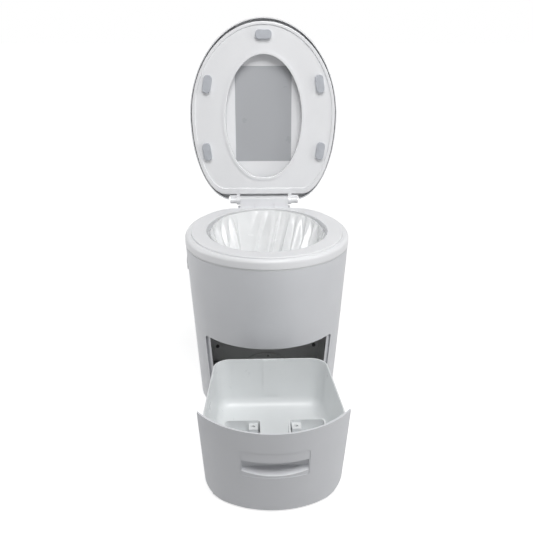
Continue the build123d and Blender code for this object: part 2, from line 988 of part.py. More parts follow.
def control_x():
    """The left wall's outer face at the control."""
    return -half_at(control_z)


def control_plane(x):
    """A plane across the left wall at the control, facing into the pedestal."""
    return Plane((x, 0, control_z), x_dir=(0, 1, 0), z_dir=(1, 0, 0))


def control_outline(inset):
    """The control's rounded outline, drawn in by inset."""
    return RectangleRounded(control_width - 2 * inset, control_height - 2 * inset, control_corner - inset)


def control_hole():
    return extrude(control_plane(control_x() - over) * control_outline(control_proud), 2 * over)


def control_bezel():
    """A raised pad on the left wall, with a bore for the flush button."""
    pad = extrude(control_plane(control_x() - control_proud) * control_outline(0), 2 * control_proud)
    pad = fillet(pad.faces().sort_by(Axis.X)[0].edges(), control_proud / 2)
    pad -= pedestal(0)
    neck_outline = control_outline(control_proud + slip_gap / 2)
    neck = extrude(control_plane(control_x()) * neck_outline, control_depth)
    bore = extrude(control_plane(control_x() - over) * Circle(button_radius + button_gap), reach)
    return pad + neck - bore


def button_rim_x():
    """Where the button's rim starts, behind the bezel."""
    return control_x() + control_depth + slip_gap


def flush_button():
    """A domed push button that travels into the bezel, with a rim that holds it in."""
    face_x = control_x() - control_proud - button_proud
    cap = extrude(control_plane(face_x) * Circle(button_radius), button_rim_x() - face_x)
    cap = fillet(cap.edges().filter_by(GeomType.CIRCLE).sort_by(Axis.X)[0], button_proud)
    rim = extrude(control_plane(button_rim_x()) * Circle(button_radius + button_rim_width), button_rim)
    return cap + rim


def button_switch():
    """The small switch behind the button, on two arms from the wall."""
    low_x = button_rim_x() + button_rim + button_travel + touch_gap
    high_x = low_x + control_depth
    half = control_width / 2
    low_z = control_z - half
    high_z = control_z + half
    arm_x = control_x() + shell_wall + slip_gap
    switch = block(low_x, high_x, -half, half, low_z, high_z)
    arms = [
        block(arm_x, high_x, half, half + switch_arm, low_z, high_z),
        block(arm_x, high_x, -half - switch_arm, -half, low_z, high_z),
    ]
    return switch.fuse(*arms) & pedestal(shell_wall + slip_gap)


# Hinge

def hinge_bracket():
    """The rear bracket that carries the hinge block behind the top ring."""
    ring_face = ring_back + bracket_gap
    points = [
        (bracket_deep_y, bracket_drop_z),
        (bracket_deep_y, trim_low_z),
        (ring_face, trim_low_z),
        (ring_face, bracket_top_z),
        (block_back_y, bracket_top_z),
        (block_back_y, bracket_lip_z),
        (seam_back, bracket_drop_z),
    ]
    face = make_face(Polyline(*points, close=True))
    solid = extrude(Plane.YZ.offset(-bracket_half) * face, 2 * bracket_half)
    solid = fillet(solid.faces().sort_by(Axis.Y)[-1].edges().filter_by(Axis.Z), bracket_round)
    solid -= pedestal(0)
    for x in (-hinge_screw_x, hinge_screw_x):
        solid -= rod((0, 0, 1), (x, pin_y, 0), hinge_screw_radius + run_gap, reach)
        solid -= rod((0, 0, 1), (x, pin_y, 0), hinge_screw_head + run_gap, screw_seat_z())
    return solid


def screw_seat_z():
    """The underside of the bracket's top plate, where the hinge screws sit."""
    return bracket_top_z - hinge_screw_bite / 2


def hinge_screws():
    one = screw(hinge_screw_head, hinge_screw_head_height, hinge_screw_radius, hinge_screw_bite)
    turned = Rot(180, 0, 0) * one
    return [Pos(side * hinge_screw_x, pin_y, screw_seat_z()) * turned for side in (-1, 1)]


def hinge_block():
    """The fixed block between the knuckles, bored for the pin."""
    body = block(-block_half, block_half, block_front_y, block_back_y, bracket_top_z, block_top_z)
    body = fillet(body.edges().filter_by(Axis.X).group_by(Axis.Z)[-1], block_round)
    screw_tip_z = screw_seat_z() + hinge_screw_bite
    for side in (-1, 1):
        x = side * slit_x
        body -= block(
            x - slit_width / 2, x + slit_width / 2, block_front_y, block_front_y + slit_depth,
            bracket_top_z, bracket_top_z + slit_height,
        )
        body -= rod((0, 0, 1), (side * hinge_screw_x, pin_y, 0), hinge_screw_radius, screw_tip_z)
    return body - on_pin(-reach, reach, pin_radius)


def on_pin(x0, x1, radius):
    """A cylinder on the hinge axis."""
    return rod((1, 0, 0), (x0, pin_y, pin_z), radius, x1 - x0)


def hinge_pin():
    """One steel pin through block, seat knuckles and lid knuckles."""
    half = block_half + knuckle_width + cap_width + slip_gap
    return on_pin(-half, half, pin_radius)


def pin_bore():
    return on_pin(-reach, reach, pin_radius + run_gap)


# Seat and lid

def uv_box(x0, x1, u0, u1, v0, v1):
    """A box in the lowered seat's frame: u to the front from the pin, v up from it."""
    return block(x0, x1, pin_y - u1, pin_y - u0, pin_z + v0, pin_z + v1)


def uv_egg(low_v, high_v, half, back_u, wide_u, tip_u, flat, inset=0):
    """An egg prism in the lowered seat's frame."""
    prism = egg_prism(low_v, high_v, half, tip_u - wide_u, wide_u - back_u, flat, inset)
    return Pos(0, pin_y - wide_u, pin_z) * prism


def raise_up(shape):
    """Turn a lowered piece up about the hinge pin to the raised rest position."""
    axis = Axis((0, pin_y, pin_z), (1, 0, 0))
    return shape.rotate(axis, -raised_angle)


def seat_ring():
    """The seat with its opening, a low ledge at its back and slots for its hinge arms."""
    seat = uv_egg(0, seat_thickness, seat_half, seat_back_u, seat_wide_u, seat_tip_u, seat_flat)
    seat = fillet(seat.faces().sort_by(Axis.Z)[-1].edges(), seat_round)
    seat = fillet(seat.faces().sort_by(Axis.Z)[0].edges(), seat_low_round)
    middle = (seat_hole_back_u + seat_hole_tip_u) / 2
    seat -= uv_egg(
        -over, reach, seat_hole_half, seat_hole_back_u, middle, seat_hole_tip_u, seat_hole_flat
    )
    seat = fillet(seat.faces().sort_by(Axis.Z)[-1].inner_wires()[0].edges(), seat_hole_round)
    seat = fillet(seat.faces().sort_by(Axis.Z)[0].inner_wires()[0].edges(), seat_low_round)
    seat -= seat_dish()
    seat += uv_box(
        -seat_ledge_half, seat_ledge_half, seat_back_u + seat_low_round, seat_ledge_u,
        -seat_ledge_height, seat_low_round,
    )
    for arm in seat_arms():
        seat -= arm
    return seat


def seat_dish():
    """The shallow hollow of the seat's underside, between its rim and the rim of its opening."""
    dish = uv_egg(
        -over, dish_depth, seat_half - dish_edge, dish_back_u, seat_wide_u, seat_tip_u - dish_edge, seat_flat
    )
    dish = fillet(dish.faces().sort_by(Axis.Z)[-1].edges(), dish_round)
    middle = (seat_hole_back_u + seat_hole_tip_u) / 2
    return dish - uv_egg(
        -over, dish_depth, seat_hole_half + dish_hole_edge, seat_hole_back_u - dish_hole_edge,
        middle, seat_hole_tip_u + dish_hole_edge, seat_hole_flat,
    )


def seat_arms():
    """Two hinge arms let into the underside of the seat, each with a knuckle on the pin."""
    start = block_half + touch_gap
    end = block_half + knuckle_width
    arm = on_pin(start, end, knuckle_radius)
    arm += uv_box(start, end, 0, knuckle_arm_u, 0, knuckle_radius)
    return both_sides(arm - pin_bore())


def bumper(u, x, length, width, turn):
    """A rounded rubber pad under the seat."""
    pad = rounded_box(length, width, bumper_height + dish_depth, bumper_corner)
    pad = fillet(pad.faces().sort_by(Axis.Z)[0].edges(), bumper_round)
    return Pos(x, pin_y - u, pin_z - bumper_height) * (Rot(0, 0, turn) * pad)


def seat_bumpers():
    """One pad at the seat's front and two at each side."""
    side_size = (bumper_side_width, bumper_side_length)
    middle = bumper(middle_bumper_u, middle_bumper_x, *side_size, -bumper_tilt)
    rear = bumper(rear_bumper_u, rear_bumper_x, *side_size, bumper_tilt)
    front = bumper(front_bumper_u, 0, bumper_width, bumper_length, 0)
    return [front] + both_sides(middle) + both_sides(rear)


def lid_form():
    """The lid's outer form, its top edge rounded."""
    lid = uv_egg(lid_low_v, lid_top_v, lid_half, 0, lid_wide_u, lid_tip_u, lid_flat)
    return fillet(lid.faces().sort_by(Axis.Z)[-1].edges(), lid_round)


def lid_shell():
    """A hollow lid whose rim goes round the seat, notched at the back for the hinge."""
    sizes = (lid_half, 0, lid_wide_u, lid_tip_u, lid_flat)
    lid = lid_form()
    hollow = uv_egg(lid_low_v - over, lid_top_v - lid_wall, *sizes, lid_wall)
    hollow = fillet(hollow.faces().sort_by(Axis.Z)[-1].edges(), lid_round - lid_wall)
    lid -= hollow
    lid -= uv_box(-lid_notch_half, lid_notch_half, -over, lid_notch_u, -over, lid_top_v - lid_wall)
    return lid


def lid_arms():
    """Two hinge arms on the lid's inner face, each with a round end on the pin."""
    start = block_half + knuckle_width + touch_gap
    end = block_half + knuckle_width + cap_width
    top_v = lid_top_v - lid_wall
    web = uv_box(start, end, cap_arm_low_u, cap_arm_high_u, lid_low_v, top_v) & lid_form()
    web += uv_box(start, end, 0, cap_radius, -lid_low_v, lid_low_v + cap_radius)
    return both_sides(on_pin(start, end, cap_radius) + web - pin_bore())


def lid_label():
    """A bare panel on the lid's inner face."""
    length = label_high_u - label_low_u
    face = RectangleRounded(2 * label_half, length, label_corner)
    middle = pin_y - (label_low_u + label_high_u) / 2
    top = pin_z + lid_top_v - lid_wall
    return extrude(Pos(0, middle, top - label_thickness) * face, label_thickness)


def lid_buffers():
    """Small pads on the lid's inner face that meet the top of the seat."""
    top = pin_z + lid_top_v - lid_wall
    low = pin_z + seat_thickness + buffer_gap
    pads = []
    for u, x in ((buffer_u_front, buffer_x_front), (buffer_u_rear, buffer_x_rear)):
        for side in (-1, 1):
            pad = rod((0, 0, 1), (side * x, pin_y - u, low), buffer_radius, top - low)
            pads.append(pad)
    return pads


# Drawer, drawn in its closed place

def panel_outline():
    return upright_outline(
        rebate_half_top - panel_edge_gap, rebate_half_low - panel_edge_gap,
        panel_low_z, rebate_top_z - panel_edge_gap, panel_top_corner, panel_low_corner,
    )


def handle_window(gap):
    half = handle_half - gap
    low = handle_low_z + gap
    high = handle_high_z - gap
    face = upright_outline(half, half, low, high, handle_corner, handle_corner)
    return along_y(face, -reach, opening_face_y)


def drawer_panel():
    """The curved drawer front, with a window for the handle and two ears for its screws."""
    skin = pedestal(0) - pedestal(panel_wall)
    panel = skin & along_y(panel_outline(), -reach, opening_face_y)
    panel -= handle_window(0)
    for side in (-1, 1):
        panel += lug_ear(side)
    return panel


def lug_ear(side):
    """A tab from the drawer front under the tray's lug, with a pilot hole."""
    x = side * lug_x
    high = lug_top_z - lug_height - ear_gap
    front_y = -front_at(high) + panel_wall
    ear = block(
        x - ear_width / 2, x + ear_width / 2, front_y, pocket_back_y - ear_gap, high - ear_height, high
    )
    ear -= rod((0, 0, 1), (x, lug_hole_y(), 0), panel_screw_radius, reach)
    return ear & pedestal(panel_wall - touch_gap)


def lug_hole_y():
    return pocket_back_y - lug_length / 2


def tray_plan():
    """The tray's rim outline, its front left long for the curved drawer front to cut."""
    points = [
        (-tray_back_half, tray_back_y),
        (tray_back_half, tray_back_y),
        (tray_front_half, tray_front_y),
        (tray_front_half, -seam_front),
        (-tray_front_half, -seam_front),
        (-tray_front_half, tray_front_y),
    ]
    face = make_face(Polyline(*points, close=True))
    return fillet(face.vertices().group_by(Axis.Y)[-1], tray_corner)


def tray_form(shrink, low, front_inset, floor_round=0):
    """The tray's drafted outer form or its inner space, down to a height."""
    face = tray_plan()
    if shrink:
        face = offset(face, -shrink)
    solid = extrude(Pos(0, 0, tray_rim_z) * face, low - tray_rim_z, taper=tray_draft)
    if floor_round:
        floor_edges = solid.faces().sort_by(Axis.Z)[0].edges().sort_by(Axis.Y)[1:]
        solid = fillet(floor_edges, floor_round)
    return solid & pedestal(front_inset)


def pocket(side, grow, low):
    """One of the two wells behind the drawer front."""
    x0 = pocket_inner_x - grow
    x1 = pocket_outer_x + grow
    y1 = pocket_back_y + grow
    well = block(x0, x1, -reach, y1, low, tray_rim_z + over)
    well = fillet(well.edges().filter_by(Axis.Z).group_by(Axis.Y)[-1], pocket_corner)
    return well if side > 0 else mirrored_x(well)


def handle_bay(grow):
    """The room in the tray's front that the handle housing takes."""
    half = handle_half + handle_wall + grow
    back = -front_at(handle_lip_z) + handle_depth + 2 * handle_wall + grow
    margin = handle_wall + grow
    return block(-half, half, -reach, back, handle_low_z - margin, handle_high_z + margin)


def drawer_tray():
    """The waste tray: a drafted box with rounded rear corners, wells and two screw lugs."""
    gap = panel_wall + slip_gap
    tray = tray_form(0, tray_foot_z, gap)
    cavity = tray_form(tray_wall, tray_floor_z, gap + tray_wall, tray_floor_round)
    cavity -= handle_bay(tray_wall)
    for side in (-1, 1):
        cavity -= pocket(side, tray_wall, pocket_floor_z - tray_wall)
    tray -= cavity
    tray -= tray_form(tray_wall, tray_foot_z - over, gap + tray_wall) & slab(-over, tray_floor_z - tray_wall)
    tray -= handle_bay(0)
    for side in (-1, 1):
        tray -= pocket(side, 0, pocket_floor_z)
    for side in (-1, 1):
        tray += lug(side)
    return tray + tray_rib()


def tray_rib():
    """A flat raised band on the inside of the tray's rear wall, leaning with it."""
    face_y = tray_back_y - tray_wall
    rib = block(
        -tray_rib_half, tray_rib_half, face_y - tray_rib_height, face_y + tray_wall / 2,
        tray_rib_low_z, tray_rim_z - tray_wall / 2,
    )
    return rib.rotate(Axis((0, face_y, tray_rim_z), (1, 0, 0)), -tray_draft)


def lug(side):
    """A screw lug on the well's rear wall."""
    x = side * lug_x
    solid = block(
        x - lug_width / 2, x + lug_width / 2, pocket_back_y - lug_length,
        pocket_back_y + tray_wall / 2, lug_top_z - lug_height, lug_top_z,
    )
    solid -= rod((0, 0, 1), (x, lug_hole_y(), 0), lug_hole, reach)
    return solid - rod((0, 0, 1), (x, lug_hole_y(), lug_top_z - lug_bore_depth), lug_bore, reach)


def panel_screws():
    length = lug_height - lug_bore_depth + ear_gap + ear_height
    one = screw(panel_screw_head, panel_screw_head_height, panel_screw_radius, length)
    return [Pos(side * lug_x, lug_hole_y(), lug_top_z - lug_bore_depth) * one for side in (-1, 1)]


def handle_insert():
    """The grip moulding: a lip above a scooped recess with finger room behind the lip."""
    face_y = -front_at(handle_lip_z)
    back_y = face_y + handle_depth
    side_half = handle_half - handle_wall
    outer = pedestal(handle_step) & handle_window(handle_gap)
    outer &= block(-reach, reach, -reach, back_y + handle_wall, 0, reach)
    floor_z = handle_low_z + handle_wall
    points = [
        (face_y - 2 * over, floor_z),
        (face_y + handle_slope_start, floor_z),
        (back_y, floor_z + handle_slope_rise),
        (back_y, handle_lip_z),
        (face_y - 2 * over, handle_lip_z),
    ]
    face = make_face(Polyline(*points, close=True))
    scoop = extrude(Plane.YZ.offset(-side_half) * face, 2 * side_half)
    low_z = handle_lip_z - over / 2
    behind_lip = block(-side_half, side_half, -reach, back_y, low_z, handle_finger_z)
    return outer - scoop - (behind_lip & pedestal(handle_step + handle_lip_wall))


def drawer_glides():
    """Four low pads under the tray's side walls that slide on the floor."""
    glides = []
    for y in (glide_front_y, glide_back_y):
        x = tray_half_at(y, tray_foot_z)
        half = glide_length / 2
        glides += both_sides(block(x - glide_width, x, y - half, y + half, touch_gap, tray_foot_z))
    return glides


def tray_half_at(y, z):
    """The tray's outer half width at a depth and height."""
    along = (tray_back_y - y) / (tray_back_y - tray_front_y)
    rim_half = tray_back_half + (tray_front_half - tray_back_half) * along
    return rim_half - (tray_rim_z - z) * math.tan(math.radians(tray_draft))


# All pieces by name, in the group that they move with

fixed_pieces = {
    "body_shell": body_shell,
    "base_frame": base_frame,
    "rubber_feet": rubber_feet,
    "drawer_chamber": drawer_chamber,
    "chamber_screws": chamber_screws,
    "sensor_cover": sensor_cover,
    "mid_deck": mid_deck,
    "seam_trim": seam_trim,
    "top_ring": top_ring,
    "cover_ring": cover_ring,
    "film_cassette": film_cassette,
    "film_pack": film_pack,
    "liner_bag": liner_bag,
    "side_plates": side_plates,
    "rod_bar": rod_bar,
    "guide_rods": guide_rods,
    "fixed_jaw": fixed_jaw,
    "heater_strip": heater_strip,
    "seal_motor": seal_motor,
    "feed_motor": feed_motor,
    "motor_brackets": motor_brackets,
    "battery_pack": battery_pack,
    "battery_tray": battery_tray,
    "battery_door": battery_door,
    "control_board": control_board,
    "board_posts": board_posts,
    "dc_socket": dc_socket,
    "control_bezel": control_bezel,
    "button_switch": button_switch,
    "hinge_bracket": hinge_bracket,
    "hinge_screws": hinge_screws,
    "hinge_block": hinge_block,
    "hinge_pin": hinge_pin,
}
moving_pieces = {
    "moving_jaw": moving_jaw,
    "silicone_pad": silicone_pad,
    "jaw_rack": jaw_rack,
    "seal_pinion": seal_pinion,
    "front_roller": lambda: roller(-roller_y),
    "front_roller_shaft": lambda: roller_shaft(-roller_y),
    "front_roller_gear": lambda: roller_gear(-roller_y, 0),
    "rear_roller": lambda: roller(roller_y),
    "rear_roller_shaft": lambda: roller_shaft(roller_y),
    "rear_roller_gear": lambda: roller_gear(roller_y, 180 / roller_gear_teeth),
    "feed_pinion": feed_pinion,
    "flush_button": flush_button,
}
raised_pieces = {
    "seat_ring": seat_ring,
    "seat_arms": seat_arms,
    "seat_bumpers": seat_bumpers,
    "lid_shell": lid_shell,
    "lid_arms": lid_arms,
    "lid_label": lid_label,
    "lid_buffers": lid_buffers,
}
drawer_pieces = {
    "drawer_panel": drawer_panel,
    "drawer_tray": drawer_tray,
    "panel_screws": panel_screws,
    "handle_insert": handle_insert,
    "drawer_glides": drawer_glides,
}


def in_place(pieces, move):
    """Build each piece, put it in its rest place, and keep its solids together."""
    placed = {}
    for name, make in pieces.items():
        made = make()
        shapes = made if isinstance(made, list) else [made]
        placed[name] = [move(solid) for shape in shapes for solid in shape.solids()]
    return placed


def main():
    """Build every piece in its rest place and write each as its own file."""
    rest = in_place({**fixed_pieces, **moving_pieces}, lambda shape: shape)
    rest.update(in_place(raised_pieces, raise_up))
    rest.update(in_place(drawer_pieces, lambda shape: Pos(0, -drawer_pull, 0) * shape))
    box = Compound([solid for solids in rest.values() for solid in solids]).bounding_box()
    middle_y = (box.min.Y + box.max.Y) / 2
    os.makedirs("parts", exist_ok=True)
    for name, solids in rest.items():
        shifted = [Pos(0, -middle_y, 0) * solid for solid in solids]
        whole = shifted[0] if len(shifted) == 1 else Compound(shifted)
        export_step(whole, f"parts/{name}.step")
    print("middle of the whole object in Y", round(middle_y, 3))


main()
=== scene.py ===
import json
import math

import bmesh
import bpy
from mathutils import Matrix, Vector, noise


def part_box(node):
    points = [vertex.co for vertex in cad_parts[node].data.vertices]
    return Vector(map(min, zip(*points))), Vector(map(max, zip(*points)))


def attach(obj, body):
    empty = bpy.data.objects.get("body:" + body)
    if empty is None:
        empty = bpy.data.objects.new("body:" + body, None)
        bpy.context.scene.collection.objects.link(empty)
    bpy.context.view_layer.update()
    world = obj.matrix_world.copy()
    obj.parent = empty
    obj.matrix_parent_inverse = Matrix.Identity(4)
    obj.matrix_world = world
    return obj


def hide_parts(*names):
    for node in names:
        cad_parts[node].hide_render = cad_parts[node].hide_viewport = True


# A camping toilet in a white studio. The frame's nodes keep their shape and get their finish
# here. The film bag is modelled here in place of the plain solid that stands for it.
# Metres. +Z is up, +Y is to the back and +X to the right, seen from the front.

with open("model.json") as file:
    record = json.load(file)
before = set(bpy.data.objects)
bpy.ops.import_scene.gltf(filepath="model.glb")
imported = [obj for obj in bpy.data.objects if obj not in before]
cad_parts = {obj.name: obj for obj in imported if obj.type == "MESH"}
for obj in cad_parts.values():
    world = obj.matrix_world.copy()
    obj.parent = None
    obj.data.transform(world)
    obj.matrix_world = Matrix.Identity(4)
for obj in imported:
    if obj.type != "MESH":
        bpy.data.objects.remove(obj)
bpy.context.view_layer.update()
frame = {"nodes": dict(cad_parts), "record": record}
nodes = frame["nodes"]

# Camera, as the photograph was taken
camera_x = -0.0436
camera_distance = 1.4632
camera_z = 0.8406
camera_forward = Vector((0.0327, 0.9391, -0.3420))
camera_lens = 45.27
camera_sensor = 36
camera_shift_x = -0.0066
camera_shift_y = 0.0033
camera_reach = 50

# Patterns of the finishes: how many to the metre, and how fine their detail
plastic_clouds = (9, 3)
plastic_wear = (38, 4)
plastic_grain = (1900, 2)
rubber_clouds = (60, 4)
rubber_dust = (130, 5)
rubber_grain = (1400, 2)
metal_scratches = (24, 6)
film_clouds = (26, 3)
film_shine = (55, 3)
film_crinkles = (46, 4)

# The part of a pattern's values that is used, and its stretch along and across a direction
pattern_low = 0.3
pattern_high = 0.7
no_stretch = (1, 1, 1)
scratch_stretch = 40
crinkle_stretch = (1, 1, 0.4)

# Shares of a colour where it is darkest
plastic_cloud_share = 0.965
rubber_cloud_share = 0.86
metal_cloud_share = 0.82
film_cloud_share = 0.95

# How far roughness goes below and above its middle
plastic_wear_range = (-0.05, 0.06)
rubber_dust_range = (-0.08, 0.08)
metal_scratch_range = (-0.08, 0.1)
film_shine_range = (-0.06, 0.1)

# Relief of the surfaces: strength, and height in metres where it is the same for all of a kind
plastic_grain_strength = 0.5
rubber_grain_strength = 0.4
rubber_grain_height = 0.00006
scratch_strength = 0.15
scratch_height = 0.0001
crinkle_strength = 0.5
crinkle_height = 0.0022

coat_roughness = 0.08
film_specular = 0.7

# Film bag: the ring's mouth, the film's bulge inside it and its grip under the lip
mouth_half = 0.137
mouth_front = 0.166
mouth_back = 0.174
film_grip_z = 0.3875
film_grip_reach = 0.0012
rim_side_gap = 0.0085
rim_end_gap = 0.0016
rim_z = 0.4026
rim_side_drop = 0.003
rim_side_power = 3
rim_wave = 0.0014
rim_gap_waves = 3
rim_gap_place = 0.4
rim_height_waves = 4
rim_height_place = 7
grip_shares = (0.25, 0.5, 0.75, 1)
grip_curve_power = 2

# Film bag: its gather at the foot, its cut size, its mesh and how long it settles
gather_z = 0.272
gather_half = 0.095
gather_depth = 0.009
film_tube_length = 0.985
film_drop = 0.196
film_sag = 0.014
film_thickness = 0.00025
film_columns = 330
film_rows = 46
film_frames = 44

# Folds of the film: place round the opening in degrees, 0 at the right and 90 at the back, width
# in degrees, how far the ridge stands in, and how far round it leans on its way down
film_folds = (
    (8, 11, 0.022, -6),
    (24, 9, 0.020, 8),
    (38, 8, 0.026, 4),
    (51, 7, 0.022, 10),
    (60, 8, 0.028, 14),
    (77, 10, 0.030, 26),
    (91, 8, 0.020, 24),
    (126, 8, 0.026, 2),
    (137, 7, 0.020, 6),
    (152, 11, 0.024, -8),
    (172, 13, 0.026, 0),
    (193, 9, 0.022, 6),
    (212, 10, 0.026, -6),
    (231, 9, 0.022, 4),
    (252, 11, 0.026, -8),
    (272, 10, 0.022, 6),
    (292, 10, 0.026, 4),
    (312, 10, 0.022, -6),
    (332, 10, 0.026, 6),
    (350, 8, 0.020, 0),
)

# A fold on its way down: the share of its width that it has at the rim, the share that it gains
# by the foot, the share of the drop where it stands in most, the share of its depth that it
# loses again by the gather, and how steeply it starts
fold_top_share = 0.6
fold_growth_share = 0.6
fold_full_share = 0.8
fold_close_share = 0.75
fold_rise_power = 0.65

# Broad waves between the folds
wave_depth = 0.006
wave_scale = 3.4
wave_lean = 2.2

full_turn = 360
half_turn = 180

# Studio floor: half its side, its grey, and its glow near the object and further off
floor_half = 30
floor_grey = (0.48, 0.48, 0.48, 1)
floor_roughness = 0.9
glow_near = 0.76
glow_far = 1
glow_near_distance = 0.7
glow_far_distance = 2.2

# Studio light: the sky's colour and strength, and the white that stands behind it
sky_colour = (0.97, 0.98, 1, 1)
sky_strength = 0.17
white = (1, 1, 1, 1)
white_strength = 1

# Lamps: place, the spot that they point at, width, height and watts
key_lamp = ((0.25, -1.25, 2.3), (0, 0.2, 0.5), 1.5, 1.1, 38)
left_lamp = ((-1.9, 0.5, 0.7), (0, 0, 0.3), 0.7, 1.6, 9.5)
right_lamp = ((1.9, -0.5, 0.9), (0, 0, 0.3), 0.7, 1.6, 10.5)


def pedestal_middle():
    """The Y place of the pedestal's middle, half way between the feed rollers."""
    return (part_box("front_roller")[0].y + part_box("rear_roller")[1].y) / 2


def make_camera():
    """The camera that looks at the toilet from the front and above."""
    data = bpy.data.cameras.new("camera")
    data.lens = camera_lens
    data.sensor_width = camera_sensor
    data.shift_x = camera_shift_x
    data.shift_y = camera_shift_y
    data.clip_end = camera_reach
    camera = bpy.data.objects.new("camera", data)
    camera.location = (camera_x, pedestal_middle() - camera_distance, camera_z)
    camera.rotation_mode = "QUATERNION"
    camera.rotation_quaternion = camera_forward.to_track_quat("-Z", "Y")
    bpy.context.scene.collection.objects.link(camera)
    bpy.context.scene.camera = camera


# Materials

def node_tree(name):
    """A new material with its Principled shader and a place to add nodes."""
    material = bpy.data.materials.new(name)
    material.use_nodes = True
    tree = material.node_tree
    return material, tree, tree.nodes["Principled BSDF"]


def pattern(tree, scale, detail, stretch=no_stretch):
    """Noise in the object's own metres."""
    coordinates = tree.nodes.new("ShaderNodeTexCoord")
    mapping = tree.nodes.new("ShaderNodeMapping")
    mapping.inputs["Scale"].default_value = stretch
    texture = tree.nodes.new("ShaderNodeTexNoise")
    texture.inputs["Scale"].default_value = scale
    texture.inputs["Detail"].default_value = detail
    tree.links.new(coordinates.outputs["Object"], mapping.inputs["Vector"])
    tree.links.new(mapping.outputs["Vector"], texture.inputs["Vector"])
    return texture.outputs["Fac"]


def map_range(tree, value, low, high, start=pattern_low, end=pattern_high):
    """The value carried from start..end to low..high."""
    node = tree.nodes.new("ShaderNodeMapRange")
    node.inputs["From Min"].default_value = start
    node.inputs["From Max"].default_value = end
    node.inputs["To Min"].default_value = low
    node.inputs["To Max"].default_value = high
    tree.links.new(value, node.inputs["Value"])
    return node.outputs["Result"]


def mixed_colour(tree, factor, first, second):
    """The first colour where the factor is 0 and the second where it is 1."""
    node = tree.nodes.new("ShaderNodeMix")
    node.data_type = "RGBA"
    node.inputs["A"].default_value = (*first, 1)
    node.inputs["B"].default_value = (*second, 1)
    tree.links.new(factor, node.inputs["Factor"])
    return node.outputs["Result"]


def joined(tree, operation, first, second):
    """Two values joined by a product, the larger of the two or the like."""
    node = tree.nodes.new("ShaderNodeMath")
    node.operation = operation
    tree.links.new(first, node.inputs[0])
    tree.links.new(second, node.inputs[1])
    return node.outputs["Value"]


def add_clouds(tree, shader, values, colour, dark_share):
    """The base colour, with clouds that go down to a share of it."""
    dark = tuple(channel * dark_share for channel in colour)
    base = mixed_colour(tree, map_range(tree, values, 0, 1), dark, colour)
    tree.links.new(base, shader.inputs["Base Color"])


def add_wear(tree, shader, values, roughness, spread):
    """Roughness that goes below and above its middle."""
    below, above = spread
    rough = map_range(tree, values, roughness + below, roughness + above)
    tree.links.new(rough, shader.inputs["Roughness"])


def add_relief(tree, shader, values, strength, height):
    """Fine relief from a pattern's values."""
    node = tree.nodes.new("ShaderNodeBump")
    node.inputs["Strength"].default_value = strength
    node.inputs["Distance"].default_value = height
    tree.links.new(values, node.inputs["Height"])
    tree.links.new(node.outputs["Normal"], shader.inputs["Normal"])


def moulded_plastic(name, colour, roughness, grain_height, coat=0, dark_share=plastic_cloud_share):
    """Moulded plastic: faint colour clouds, uneven roughness and a fine eroded grain."""
    material, tree, shader = node_tree(name)
    add_clouds(tree, shader, pattern(tree, *plastic_clouds), colour, dark_share)
    add_wear(tree, shader, pattern(tree, *plastic_wear), roughness, plastic_wear_range)
    grain = pattern(tree, *plastic_grain)
    add_relief(tree, shader, grain, plastic_grain_strength, grain_height)
    shader.inputs["Coat Weight"].default_value = coat
    shader.inputs["Coat Roughness"].default_value = coat_roughness
    return material


def soft_rubber(name, colour, roughness):
    """Rubber or silicone with a little dust."""
    material, tree, shader = node_tree(name)
    add_clouds(tree, shader, pattern(tree, *rubber_clouds), colour, rubber_cloud_share)
    add_wear(tree, shader, pattern(tree, *rubber_dust), roughness, rubber_dust_range)
    grain = pattern(tree, *rubber_grain)
    add_relief(tree, shader, grain, rubber_grain_strength, rubber_grain_height)
    return material


def brushed_metal(name, colour, roughness, along):
    """Metal with fine scratches along one axis."""
    material, tree, shader = node_tree(name)
    stretch = tuple(1 if axis == along else scratch_stretch for axis in "xyz")
    scratches = pattern(tree, *metal_scratches, stretch)
    add_clouds(tree, shader, scratches, colour, metal_cloud_share)
    add_wear(tree, shader, scratches, roughness, metal_scratch_range)
    add_relief(tree, shader, scratches, scratch_strength, scratch_height)
    shader.inputs["Metallic"].default_value = 1
    return material


def milky_film(name, colour, roughness):
    """Thin milky film with a crinkled shine."""
    material, tree, shader = node_tree(name)
    add_clouds(tree, shader, pattern(tree, *film_clouds), colour, film_cloud_share)
    add_wear(tree, shader, pattern(tree, *film_shine), roughness, film_shine_range)
    crinkles = pattern(tree, *film_crinkles, crinkle_stretch)
    add_relief(tree, shader, crinkles, crinkle_strength, crinkle_height)
    shader.inputs["Specular IOR Level"].default_value = film_specular
    return material


